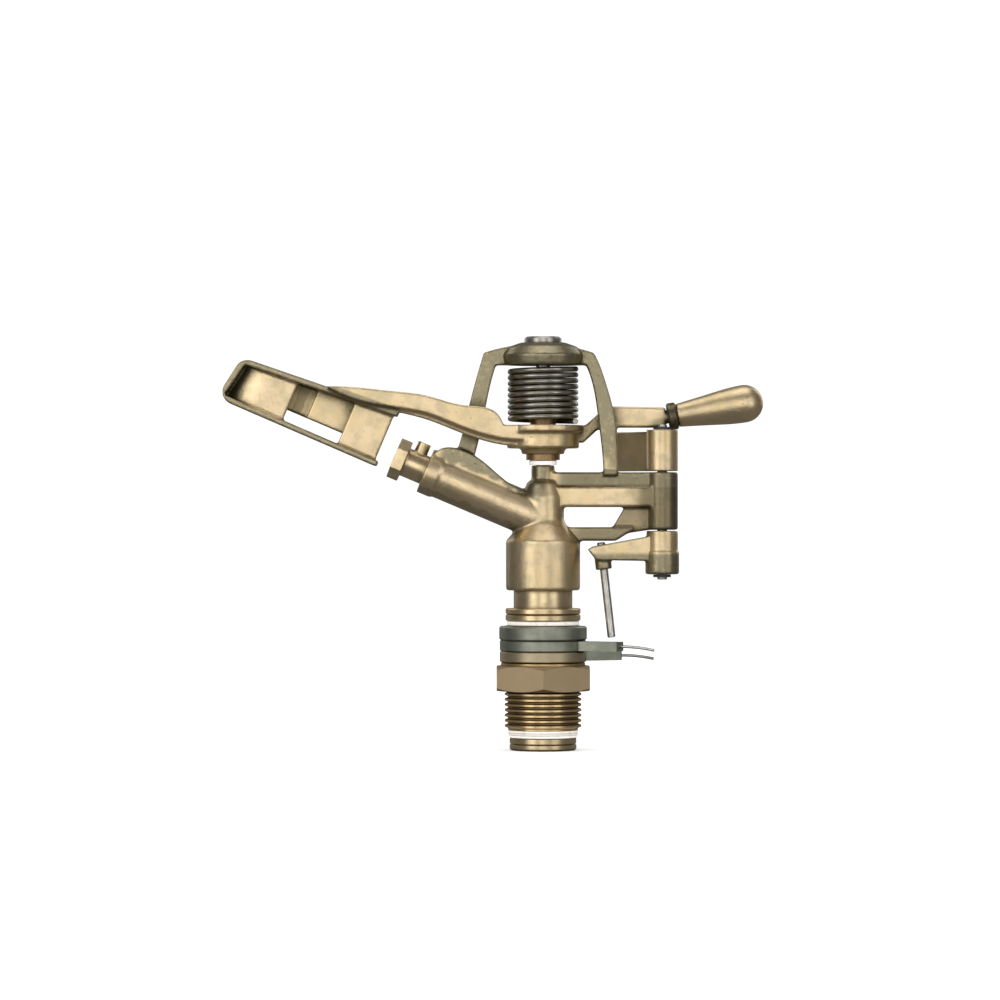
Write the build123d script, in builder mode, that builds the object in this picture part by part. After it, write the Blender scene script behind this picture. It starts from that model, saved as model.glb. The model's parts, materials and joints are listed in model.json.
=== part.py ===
"""Brass part-circle impact sprinkler with a 3/4 inch inlet, as separate pieces.

Millimetres, +Z up.  The origin is on the axis that the head turns about, at the
bottom end of the bearing tube.  The nozzle throws towards -X, the trip mechanism
hangs at +X, and the drive arm swings out towards -Y.
"""
import os
from math import cos, radians, sin

from build123d import *

os.makedirs("parts", exist_ok=True)

# ---- fits -------------------------------------------------------------------
running_gap = 0.06        # radial, a piece that turns on another
seat_gap = 0.02           # radial, a piece fixed in another
face_gap = 0.05           # between flat faces that rub
clearance = 0.4           # between pieces that pass each other

# ---- inlet and bearing ------------------------------------------------------
thread_crest_r = 26.44 / 2
thread_depth = 1.16
thread_pitch = 1.814
thread_turns = 7
thread_lead = 1.2         # plain lead below the first thread
hex_across_flats = 32.0
hex_height = 8.6
hex_bevel = 1.2
neck_r = 14.5
neck_height = 1.3
seat_r = 12.6             # where the trip collars sit
tube_r = 8.0
tube_wall = 1.5
tube_flange_r = 11.5
tube_flange_height = 4.4
tube_socket_depth = 6.0
washer_overhang = 0.5     # past the tube's flange
washer_height = 0.8
retainer_height = 4.9
top_washer_height = 1.7
sleeve_flange_r = 12.9
sleeve_flange_height = 4.2
sleeve_wall = 0.7
sleeve_length = 17.0
sleeve_floor = 1.4
spring_wire_r = 0.45
spring_turns = 5
spring_room = 0.5         # the bearing spring's play between tube and sleeve

# ---- trip collars -----------------------------------------------------------
collar_r = 14.9
collar_height = 3.6
collar_angle = 25.0       # either side of the trip wire
stop_reach = 29.0
stop_width = 6.4
stop_inset = 0.2
finger_wire_r = 0.5
finger_grip = 5.5         # length of the finger wire inside its block
finger_bend_r = 60.0

# ---- body casting, heights above the skirt's foot ----------------------------
skirt_lift = 10.4         # the skirt's foot above the sleeve's
skirt_wall = 2.25
skirt_length = 17.0
skirt_recess = 9.5
column_height = 37.0
pin_boss_height = 43.0
nozzle_root_height = 24.0
bracket_height = 40.6
lower_arm_lift = 17.0
nozzle_angle = 23.0
water_way_r = 5.4
water_way_wall = 1.8
barrel_wall = 1.5         # around the nozzle's shank
barrel_lip = 0.5
barrel_length = 44.0
bridge_thickness = 7.0
bridge_width = 7.8
bridge_front_x = -20.4    # outer edges of its roof
bridge_rear_x = 17.4
rear_foot_x = 25.4
leg_width = 4.6
spring_seat_r = 13.6
bracket_arm_height = 12.0
bracket_lip_height = 5.0
bracket_width = 8.4
lower_arm_height = 4.7
window_right = 27.0

# ---- nozzle -----------------------------------------------------------------
nozzle_neck_r = 5.0
nozzle_neck_length = 7.6
nozzle_head_r = 7.2
nozzle_head_length = 4.0
nozzle_lug_r = 2.3
nozzle_lug_reach = 8.6
nozzle_shank_length = 9.0
nozzle_bore_r = 2.4

# ---- fulcrum and drive arm --------------------------------------------------
pin_r = 2.5
pin_root_depth = 9.2      # below the top of its boss
pin_boss_wall = 1.5
pin_head_r = 6.4
pin_head_height = 2.0
thrust_washer_height = 1.7
bush_wall = 1.9
bush_rim = 1.4
bush_below = 2.0
bush_above = 8.0
hub_wall = 3.0
hub_height = 10.0
hub_step = 2.0            # height of the plain hub under its drum
hub_drum_r = 12.4
hub_flange_r = 14.0
hub_flange_height = 2.3
spring_bay = 20.6         # between the hub and the underside of the bridge
arm_spring_r = 12.2
arm_spring_wire_r = 0.94
arm_spring_air = 0.1      # least gap between its turns
arm_spring_end_gap = 0.35
arm_gap = 0.4             # between the arm and the bridge leg that stops it
arm_web = 4.2
arm_flange_width = 6.4
arm_under_edge = 2.0      # of the web, showing under the flange
rear_bar_lift = 9.2       # above the hub's foot
rear_bar_depth = 7.0
rear_bar_end_x = 42.2
lug_inner_x = 20.5
lug_width = 5.1
lug_drop = 7.0

# ---- spoon ------------------------------------------------------------------
spoon_angle = 23.0
spoon_gap = 4.5           # from the nozzle's mouth, along the jet
spoon_drop = 5.4          # of its lower rail below the jet
spoon_length = 59.4
spoon_mouth = 20.6
spoon_tip = 16.6
spoon_rail = 2.0
spoon_corner_r = 4.5
spoon_width = 15.6
spoon_wall = 2.0
wall_recess = 1.1         # of the near walls behind the rails' edges
tip_wall = 2.2

# ---- counterweight ----------------------------------------------------------
weight_angle = 10.0
weight_small_r = 4.0
weight_large_r = 6.5
weight_length = 30.0
weight_collar_r = 4.7
weight_collar_start = 1.0
weight_collar_length = 4.2
weight_gap = 0.1
stud_r = 2.2
stud_length = 14.0

# ---- trip mechanism ---------------------------------------------------------
pivot_x = 41.0
pivot_r = 1.7
pivot_boss_wall = 3.7
pivot_boss_rise = 3.8     # of the boss's foot above the lower arm's
wing_thickness = 2.4
wing_reach = 24.8
wing_angle = 126.5        # from +X, in plan
nose_r = 1.9
trip_height = 14.9
trip_foot_r = 5.8
trip_foot_height = 8.2
lever_lift = 4.9          # of the lever's underside above the foot
lever_end_x = 15.4
lever_width = 6.4
wire_r = 1.4
wire_x = 20.6
wire_lean = 6.4
wire_above = 6.1
wire_stop_gap = 1.0       # between the raised wire and the upper stop block
guide_wall = 1.4
guide_drop = 3.2
clip_r = 3.1
clip_height = 0.9
clip_gap = 0.1
pin_end = 0.8             # of the pivot pin past each clip
groove_depth = 0.5
coil_wire_r = 0.35
coil_pocket_wall = 1.5
coil_pocket_depth = 4.2
coil_turns = 4

# ---- what follows from the bearing stack -------------------------------------
washer_z = [tube_flange_height + face_gap + i * (washer_height + face_gap) for i in range(3)]
nipple_z = washer_z[2] + washer_height + face_gap
hex_z = nipple_z + thread_lead + thread_turns * thread_pitch - 0.5
seat_z = hex_z + hex_height + neck_height
lower_collar_z = seat_z + face_gap
upper_collar_z = lower_collar_z + collar_height + 4 * face_gap
upper_collar_top_z = upper_collar_z + collar_height
retainer_z = upper_collar_top_z + 2 * face_gap
nipple_top_z = retainer_z + retainer_height
top_washer_z = nipple_top_z + face_gap
sleeve_z = top_washer_z + top_washer_height + face_gap
tube_bore_r = tube_r - tube_wall
nipple_bore_r = tube_r + running_gap
washer_r = tube_flange_r + washer_overhang
retainer_r = collar_r + 0.2
sleeve_bore_r = tube_r + 2 * spring_wire_r + spring_room
sleeve_r = sleeve_bore_r + sleeve_wall

# ---- what follows in the casting and on the fulcrum --------------------------
skirt_z = sleeve_z + skirt_lift
skirt_r = sleeve_r + clearance + skirt_wall
shoulder_z = skirt_z + skirt_recess
tube_top_z = shoulder_z + tube_socket_depth
column_top_z = skirt_z + column_height
column_r = water_way_r + water_way_wall
pin_boss_z = skirt_z + pin_boss_height
pin_boss_r = pin_r + pin_boss_wall
nozzle_root_z = skirt_z + nozzle_root_height
nozzle_shank_r = water_way_r + 0.5
barrel_r = nozzle_shank_r + barrel_wall
bush_z = pin_boss_z + thrust_washer_height + 2 * face_gap
bush_r = pin_r + bush_wall
hub_z = bush_z + bush_below
hub_r = bush_r + hub_wall
hub_top_z = hub_z + hub_height
seat_underside_z = hub_top_z + spring_bay
bridge_top_z = seat_underside_z + bridge_thickness
rear_bar_bottom_z = hub_z + rear_bar_lift
rear_bar_top_z = rear_bar_bottom_z + rear_bar_depth
bridge_half = bridge_width / 2
arm_y = -bridge_half - arm_gap - arm_web / 2
rear_y = -arm_y
pin_root_z = pin_boss_z - pin_root_depth

# ---- what follows on the bracket and in the trip mechanism --------------------
bracket_top_z = skirt_z + bracket_height
bracket_bottom_z = bracket_top_z - bracket_arm_height
bracket_half = bracket_width / 2
lower_arm_z = skirt_z + lower_arm_lift
lower_arm_top_z = lower_arm_z + lower_arm_height
pivot_boss_z = lower_arm_z + pivot_boss_rise
pivot_boss_r = pivot_r + pivot_boss_wall
shift_z = bracket_top_z + clearance
shift_top_z = rear_bar_bottom_z - 2 * clearance
trip_top_z = pivot_boss_z - clearance
trip_foot_z = trip_top_z - trip_height
wire_z = trip_foot_z + lever_lift
wire_below = (wire_z - upper_collar_top_z - wire_stop_gap) / cos(radians(wire_lean))

# ---- the nozzle's own axis ----------------------------------------------------
nozzle_dir = (-cos(radians(nozzle_angle)), 0, sin(radians(nozzle_angle)))
nozzle_up = (sin(radians(nozzle_angle)), 0, cos(radians(nozzle_angle)))


def along_nozzle(distance):
    """Plane square to the nozzle's axis, this far out from the spin axis."""
    origin = (nozzle_dir[0] * distance, 0, nozzle_root_z + nozzle_dir[2] * distance)
    return Plane(origin=origin, x_dir=(0, 1, 0), z_dir=nozzle_dir)


def outline(points, plane=Plane.XZ):
    """Closed straight-sided face on a plane."""
    with BuildSketch(plane) as face:
        with BuildLine():
            Polyline(*points, close=True)
        make_face()
    return face.sketch


def turned(points):
    """Piece turned about the spin axis from (radius, height) points."""
    with BuildPart() as piece:
        revolve(outline(points), axis=Axis.Z)
    return piece.part


def ring(inner_r, outer_r, bottom_z, height, edge=0.15):
    """Flat ring about the spin axis with lightly broken outer edges."""
    top_z = bottom_z + height
    return turned([
        (inner_r, bottom_z), (outer_r - edge, bottom_z), (outer_r, bottom_z + edge),
        (outer_r, top_z - edge), (outer_r - edge, top_z), (inner_r, top_z),
    ])


def coil(mean_r, wire_radius, pitch, bottom_z, height, centre_x=0.0):
    """Round wire wound into an open coil."""
    with BuildPart() as piece:
        with BuildLine() as path:
            Helix(pitch=pitch, height=height, radius=mean_r, center=(centre_x, 0, bottom_z))
        start = path.line @ 0
        with BuildSketch(Plane(origin=start, z_dir=path.line % 0)):
            Circle(wire_radius)
        sweep(path=path.line, is_frenet=True)
    return piece.part


pieces = {}


def keep(name, part):
    """Label a finished piece and put it in the list that is written out."""
    part.label = name
    pieces[name] = part


# =============================================================================
# Fixed base: nipple, washers, retainer
# =============================================================================
root_r = thread_crest_r - thread_depth
crest_land = thread_pitch * 0.34
thread_outline = [(root_r, nipple_z), (root_r, nipple_z + 0.3)]
for turn in range(thread_turns):
    foot = nipple_z + thread_lead * 0.5 + turn * thread_pitch
    thread_outline += [
        (root_r, foot),
        (thread_crest_r, foot + (thread_pitch - crest_land) / 2 - 0.1),
        (thread_crest_r, foot + (thread_pitch + crest_land) / 2 - 0.1),
        (root_r, foot + thread_pitch - 0.2),
    ]

with BuildPart() as bearing_nipple:
    with BuildSketch(Plane.XY.offset(hex_z)):
        RegularPolygon(hex_across_flats / 2, 6, major_radius=False, rotation=30)
    extrude(amount=hex_height)
    hex_corner_r = hex_across_flats / 2 / cos(radians(30))
    hex_top_z = hex_z + hex_height
    revolve(outline([
        (0, hex_z), (hex_across_flats / 2, hex_z), (hex_corner_r, hex_z + hex_bevel),
        (hex_corner_r, hex_top_z - hex_bevel), (hex_across_flats / 2, hex_top_z), (0, hex_top_z),
    ]), axis=Axis.Z, mode=Mode.INTERSECT)
    revolve(outline(
        [(0, nipple_z)] + thread_outline
        + [(root_r, hex_z + 1), (neck_r, hex_z + 2), (neck_r, seat_z - 0.4), (neck_r - 0.4, seat_z),
           (seat_r, seat_z), (seat_r, nipple_top_z - 0.5), (seat_r - 0.5, nipple_top_z),
           (0, nipple_top_z)]
    ), axis=Axis.Z)
    revolve(outline([
        (0, nipple_z), (nipple_bore_r, nipple_z), (nipple_bore_r, nipple_top_z), (0, nipple_top_z),
    ]), axis=Axis.Z, mode=Mode.SUBTRACT)
keep("bearing_nipple", bearing_nipple.part)

keep("collar_retainer", ring(seat_r + seat_gap, retainer_r, retainer_z, retainer_height - 0.1, 0.5))

washer_names = ["lower_nylon_washer", "lower_rubber_washer", "upper_nylon_washer"]
for name, bottom in zip(washer_names, washer_z):
    keep(name, ring(nipple_bore_r, washer_r, bottom, washer_height))
keep("top_bearing_washer", ring(nipple_bore_r, seat_r - 0.1, top_washer_z, top_washer_height, 0.3))


# =============================================================================
# Trip collars: a ring, a stop block and a finger wire for each
# =============================================================================
def collar_stop(bottom_z, angle):
    """Radial block that stops the trip wire, drilled along its length for the finger wire."""
    height = collar_height - 2 * stop_inset
    side = Plane(origin=(0, 0, bottom_z + stop_inset), x_dir=(cos(radians(angle)), sin(radians(angle)), 0))
    with BuildPart() as stop:
        with BuildSketch(side):
            with Locations(((collar_r - 2 + stop_reach) / 2, 0)):
                RectangleRounded(stop_reach - collar_r + 2, stop_width, 0.8)
        extrude(amount=height)
        with BuildSketch(Plane.XY.offset(bottom_z)):
            Circle(collar_r + seat_gap)
        extrude(amount=collar_height, mode=Mode.SUBTRACT)
        with BuildSketch(Plane(origin=side.from_local_coords((stop_reach - finger_grip, 0, height / 2)),
                               z_dir=side.x_dir)):
            Circle(finger_wire_r + seat_gap)
        extrude(amount=finger_grip + 1, mode=Mode.SUBTRACT)
    return stop.part


def finger_wire(bottom_z, angle, droop):
    """Thin wire out of the stop block, straight and then drooping gently to its tip."""
    height = bottom_z + collar_height / 2
    upright = Plane(origin=(0, 0, height), x_dir=(cos(radians(angle)), sin(radians(angle)), 0),
                    z_dir=(sin(radians(angle)), -cos(radians(angle)), 0))
    with BuildPart() as wire:
        with BuildLine(upright) as path:
            straight = Line((stop_reach - finger_grip, 0), (stop_reach + 1, 0))
            JernArc(start=straight @ 1, tangent=straight % 1, radius=finger_bend_r, arc_size=-droop)
        with BuildSketch(Plane(origin=path.line @ 0, z_dir=path.line % 0)):
            Circle(finger_wire_r)
        sweep(path=path.line)
    return wire.part


for place, bottom, angle, droop in (("lower", lower_collar_z, collar_angle, 12),
                                    ("upper", upper_collar_z, -collar_angle, 11)):
    keep(f"{place}_collar_ring", ring(seat_r + running_gap, collar_r, bottom, collar_height, 0.3))
    keep(f"{place}_collar_stop", collar_stop(bottom, angle))
    keep(f"{place}_collar_wire", finger_wire(bottom, angle, droop))

# =============================================================================
# Head: tube, sleeve, spring, body casting, nozzle
# =============================================================================
with BuildPart() as bearing_tube:
    revolve(outline([
        (tube_bore_r, 0), (tube_flange_r - 0.6, 0), (tube_flange_r, 0.6),
        (tube_flange_r, 1.9), (tube_flange_r - 0.4, 2.2), (tube_flange_r, 2.5),
        (tube_flange_r, tube_flange_height - 0.3), (tube_flange_r - 0.3, tube_flange_height),
        (tube_r, tube_flange_height), (tube_r, tube_top_z), (tube_bore_r, tube_top_z),
    ]), axis=Axis.Z)
keep("bearing_tube", bearing_tube.part)

groove_z = sleeve_z + sleeve_flange_height * 0.52
keep("sand_sleeve", turned([
    (nipple_bore_r, sleeve_z), (sleeve_flange_r - 0.3, sleeve_z), (sleeve_flange_r, sleeve_z + 0.3),
    (sleeve_flange_r, groove_z - 0.4), (sleeve_flange_r - 0.5, groove_z), (sleeve_flange_r, groove_z + 0.4),
    (sleeve_flange_r, sleeve_z + sleeve_flange_height - 0.3),
    (sleeve_flange_r - 0.3, sleeve_z + sleeve_flange_height),
    (sleeve_r, sleeve_z + sleeve_flange_height), (sleeve_r, sleeve_z + sleeve_length),
    (sleeve_bore_r, sleeve_z + sleeve_length), (sleeve_bore_r, sleeve_z + sleeve_floor),
    (nipple_bore_r, sleeve_z + sleeve_floor),
]))

spring_bottom_z = sleeve_z + sleeve_floor + spring_wire_r + face_gap
spring_height = shoulder_z - spring_bottom_z - spring_wire_r - face_gap
keep("bearing_spring", coil((tube_r + sleeve_bore_r) / 2, spring_wire_r,
                            spring_height / spring_turns, spring_bottom_z, spring_height))

with BuildPart() as body_casting:
    # skirt, column and the boss that holds the fulcrum pin
    revolve(outline([
        (0, skirt_z), (skirt_r - 0.5, skirt_z), (skirt_r, skirt_z + 0.5),
        (skirt_r, skirt_z + skirt_length), (skirt_r - 1.2, skirt_z + skirt_length + 1.4),
        (column_r + 0.8, skirt_z + skirt_length + 5.6), (column_r, skirt_z + skirt_length + 7.5),
        (column_r, column_top_z - 5), (pin_boss_r + 1.6, column_top_z), (pin_boss_r, column_top_z + 1),
        (pin_boss_r, pin_boss_z), (0, pin_boss_z),
    ]), axis=Axis.Z)
    # nozzle barrel with a thickened lip
    with BuildSketch(along_nozzle(0)):
        Circle(barrel_r)
    extrude(amount=barrel_length)
    with BuildSketch(along_nozzle(barrel_length - 5)):
        Circle(barrel_r + barrel_lip)
    extrude(amount=5)
    # bridge: an arched roof on two legs that spread towards their feet
    with BuildSketch(Plane.XZ):
        with BuildLine():
            roof = ThreePointArc((bridge_front_x, bridge_top_z - 2.8), (-1.5, bridge_top_z + 0.3),
                                 (bridge_rear_x, bridge_top_z - 2.8))
            rear_outside = Spline(roof @ 1, (bridge_rear_x + 4, hub_top_z + 15),
                                  (rear_foot_x - 1, hub_top_z + 4),
                                  (rear_foot_x, bracket_top_z - 1), tangents=((1, -1.6), (0, -1)))
            rear_foot = Line(rear_outside @ 1, (rear_foot_x - leg_width, bracket_top_z - 1))
            rear_inside = Spline(rear_foot @ 1, (rear_foot_x - leg_width - 1.6, hub_top_z + 1),
                                 (bridge_rear_x - 2.6, seat_underside_z), tangents=((0, 1), (-0.5, 1)))
            underside = Line(rear_inside @ 1, (bridge_front_x + 4.2, seat_underside_z))
            front_inside = Spline(underside @ 1, (bridge_front_x + 0.6, hub_top_z + 6),
                                  (bridge_front_x - 3, hub_z), tangents=((-0.35, -1), (-0.3, -1)))
            front_foot = Line(front_inside @ 1, (bridge_front_x - 9.6, hub_z))
            Spline(front_foot @ 1, (bridge_front_x - 5.2, hub_top_z + 6), roof @ 0,
                   tangents=((0.4, 1), (0.3, 1)))
        make_face()
    extrude(amount=bridge_half, both=True)
    # the hump along the barrel that the front leg grows out of
    with BuildSketch(Plane.XZ):
        with BuildLine():
            hump = Spline((-39.0, nozzle_root_z + 15), (-34.0, nozzle_root_z + 25),
                          (-24.0, nozzle_root_z + 22.6), (-14.0, nozzle_root_z + 14.6),
                          (-6.0, nozzle_root_z + 10))
            Line(hump @ 1, hump @ 0)
        make_face()
    extrude(amount=bridge_half + 1.4, both=True)
    revolve(outline([
        (0, seat_underside_z), (spring_seat_r, seat_underside_z), (spring_seat_r + 0.6, bridge_top_z - 3.4),
        (spring_seat_r - 2.0, bridge_top_z - 0.6), (pin_head_r + 1.2, bridge_top_z + 0.8),
        (0, bridge_top_z + 0.8),
    ]), axis=Axis.Z)
    # rear bracket: upper arm with a narrow lip, gusset web, lower arm, pivot boss
    extrude(outline([
        (0, bracket_bottom_z), (pivot_x - 4, bracket_bottom_z),
        (pivot_x - 4, bracket_top_z - bracket_lip_height), (0, bracket_top_z - bracket_lip_height),
    ]), amount=bracket_half, both=True)
    extrude(outline([
        (0, bracket_bottom_z + 2), (pivot_x, bracket_bottom_z + 2),
        (pivot_x, bracket_top_z), (0, bracket_top_z),
    ]), amount=bracket_half - 1.2, both=True)
    extrude(outline([
        (window_right - 3, lower_arm_z + 1), (window_right - 3, lower_arm_top_z),
        (window_right + 1.4, bracket_bottom_z + 0.5), (pivot_x, bracket_bottom_z + 2),
        (pivot_x, pivot_boss_z + 0.6), (window_right + 3, pivot_boss_z - 1),
    ]), amount=bracket_half - 1.8, both=True)
    extrude(outline([
        (0, lower_arm_z), (window_right - 2, lower_arm_z), (window_right + 4, pivot_boss_z),
        (window_right + 4, lower_arm_top_z), (0, lower_arm_top_z),
    ]), amount=bracket_half - 1.0, both=True)
    with BuildSketch(Plane.XY.offset(pivot_boss_z)):
        with Locations((pivot_x, 0)):
            Circle(pivot_boss_r)
    extrude(amount=bracket_top_z - pivot_boss_z)
    # water way, recess for the sleeve and spring, socket for the tube
    revolve(outline([
        (0, skirt_z), (sleeve_r + clearance, skirt_z), (sleeve_r + clearance, shoulder_z),
        (tube_r + seat_gap, shoulder_z), (tube_r + seat_gap, tube_top_z + face_gap),
        (tube_bore_r, tube_top_z + 1.5), (water_way_r - 0.6, nozzle_root_z - 4),
        (water_way_r - 0.6, nozzle_root_z), (0, nozzle_root_z),
    ]), axis=Axis.Z, mode=Mode.SUBTRACT)
    with BuildSketch(along_nozzle(-1.5)):
        Circle(water_way_r)
    extrude(amount=barrel_length + 3, mode=Mode.SUBTRACT)
    with BuildSketch(along_nozzle(barrel_length - nozzle_shank_length)):
        Circle(nozzle_shank_r + seat_gap)
    extrude(amount=nozzle_shank_length + 3, mode=Mode.SUBTRACT)
    # holes for the two pins
    with BuildSketch(Plane.XY.offset(pin_root_z)):
        Circle(pin_r + seat_gap)
    extrude(amount=bridge_top_z + 3 - pin_root_z, mode=Mode.SUBTRACT)
    with BuildSketch(Plane.XY.offset(pivot_boss_z - 1)):
        with Locations((pivot_x, 0)):
            Circle(pivot_r + seat_gap)
    extrude(amount=bracket_top_z - pivot_boss_z + 2, mode=Mode.SUBTRACT)
keep("body_casting", body_casting.part)

with BuildPart() as nozzle:
    with BuildSketch(along_nozzle(barrel_length - nozzle_shank_length)):
        Circle(nozzle_shank_r)
    extrude(amount=nozzle_shank_length)
    with BuildSketch(along_nozzle(barrel_length + 0.8)):
        Circle(nozzle_neck_r)
    extrude(amount=nozzle_neck_length - 0.8)
    with BuildSketch(along_nozzle(barrel_length)):
        Circle(nozzle_neck_r)
    extrude(amount=1)
    with BuildSketch(along_nozzle(barrel_length + nozzle_neck_length)):
        RegularPolygon(nozzle_head_r, 6, rotation=90)
    extrude(amount=nozzle_head_length)
    with BuildSketch(along_nozzle(barrel_length - nozzle_shank_length)):
        Circle(nozzle_bore_r * 1.9)
    with BuildSketch(along_nozzle(barrel_length + nozzle_neck_length)):
        Circle(nozzle_bore_r)
    loft(mode=Mode.SUBTRACT)
    lug_place = along_nozzle(barrel_length + nozzle_neck_length / 2)
    lug_plane = Plane(origin=lug_place.origin, z_dir=nozzle_up)
    with BuildSketch(lug_plane.offset(nozzle_bore_r + 1)):
        Circle(nozzle_lug_r)
    extrude(amount=nozzle_lug_reach - nozzle_bore_r - 1)
    with BuildSketch(along_nozzle(barrel_length + nozzle_neck_length - 0.5)):
        Circle(nozzle_bore_r)
    extrude(amount=nozzle_head_length + 1, mode=Mode.SUBTRACT)
keep("nozzle", nozzle.part)

# =============================================================================
# Fulcrum pin, bush, washer, arm spring
# =============================================================================
pin_head_z = bridge_top_z + 0.8 + face_gap
with BuildPart() as fulcrum_pin:
    revolve(outline([
        (0, pin_root_z + face_gap), (pin_r - 0.4, pin_root_z + face_gap), (pin_r, pin_root_z + 0.5),
        (pin_r, pin_head_z), (pin_head_r, pin_head_z), (pin_head_r, pin_head_z + pin_head_height - 0.7),
        (pin_head_r - 0.9, pin_head_z + pin_head_height), (0, pin_head_z + pin_head_height),
    ]), axis=Axis.Z)
    with BuildSketch(Plane.XY.offset(pin_head_z + pin_head_height)):
        Rectangle(2 * pin_head_r + 1, 1.4)
    extrude(amount=-1.1, mode=Mode.SUBTRACT)
keep("fulcrum_pin", fulcrum_pin.part)

keep("thrust_washer", ring(pin_r + running_gap, pin_boss_r + 0.8, pin_boss_z + face_gap,
                           thrust_washer_height, 0.3))
keep("arm_bush", turned([
    (pin_r + running_gap, bush_z), (bush_r + bush_rim, bush_z), (bush_r + bush_rim, hub_z - face_gap),
    (bush_r, hub_z - face_gap), (bush_r, hub_top_z + bush_above),
    (pin_r + running_gap, hub_top_z + bush_above),
]))

arm_spring_z = hub_top_z + arm_spring_end_gap + arm_spring_wire_r
arm_spring_height = seat_underside_z - arm_spring_end_gap - arm_spring_wire_r - arm_spring_z
arm_spring_coils = int(arm_spring_height / (2 * arm_spring_wire_r + arm_spring_air))
keep("arm_spring", coil(arm_spring_r - arm_spring_wire_r, arm_spring_wire_r,
                        arm_spring_height / arm_spring_coils, arm_spring_z, arm_spring_height))

# =============================================================================
# Drive arm: hub, front bar, spoon, rear bar with its lug and stud
# =============================================================================
spoon_cos, spoon_sin = cos(radians(spoon_angle)), sin(radians(spoon_angle))
spoon_near_y = arm_y - arm_web / 2
nozzle_end = barrel_length + nozzle_neck_length + nozzle_head_length
spoon_x = nozzle_dir[0] * (nozzle_end + spoon_gap) - nozzle_up[0] * spoon_drop
spoon_z = nozzle_root_z + nozzle_dir[2] * (nozzle_end + spoon_gap) - nozzle_up[2] * spoon_drop
weight_dir = (cos(radians(weight_angle)), 0, sin(radians(weight_angle)))
weight_axis_z = (rear_bar_bottom_z + rear_bar_top_z) / 2


def spoon_plane(y):
    """Spoon's side plane: local x runs out along the jet, local y up across it, z is +Y."""
    return Plane(origin=(spoon_x, y, spoon_z), x_dir=(-spoon_cos, 0, spoon_sin), z_dir=(0, 1, 0))


def weight_plane(distance):
    """Plane square to the counterweight's axis, this far beyond the end of the rear bar."""
    origin = (rear_bar_end_x + weight_dir[0] * distance, rear_y, weight_axis_z + weight_dir[2] * distance)
    return Plane(origin=origin, x_dir=(0, 1, 0), z_dir=weight_dir)


spoon_frame = [(0, 0), (spoon_length, 0.4), (spoon_length - 2.7, spoon_tip), (0, spoon_mouth)]
joint_x = spoon_x + spoon_mouth * spoon_sin
joint_z = spoon_z + spoon_mouth * spoon_cos


def spoon_outline():
    """Outside of the spoon from its side, with rounded corners at the tip."""
    with BuildSketch(spoon_plane(spoon_near_y)) as face:
        with BuildLine():
            Polyline(*spoon_frame, close=True)
        make_face()
        fillet(face.vertices().sort_by(Axis.X)[-2:], spoon_corner_r)
    return face.sketch


# the wall that turns the jet aside, curved in plan and trimmed to the spoon's outline
with BuildPart() as deflector:
    with BuildSketch(Plane(origin=(spoon_x, 0, spoon_z), x_dir=(-spoon_cos, 0, spoon_sin),
                           z_dir=(-spoon_sin, 0, -spoon_cos))):
        with BuildLine():
            near = spoon_near_y + wall_recess
            far = spoon_near_y + spoon_width * 0.8
            outer = Spline((35.5, near), (48.0, near + 0.8), (55.0, near + 4.0), (spoon_length - 1, far),
                           tangents=((1, 0), (0.1, 1)))
            tip = Line(outer @ 1, (spoon_length - 3.2, far))
            inner = Spline(tip @ 1, (53.0, near + 5.0), (47.5, near + 2.8), (35.5, near + spoon_wall),
                           tangents=((-0.1, -1), (-1, 0)))
            Line(inner @ 1, outer @ 0)
        make_face()
    extrude(amount=-spoon_mouth)
    extrude(spoon_outline(), amount=spoon_width, mode=Mode.INTERSECT)

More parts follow.
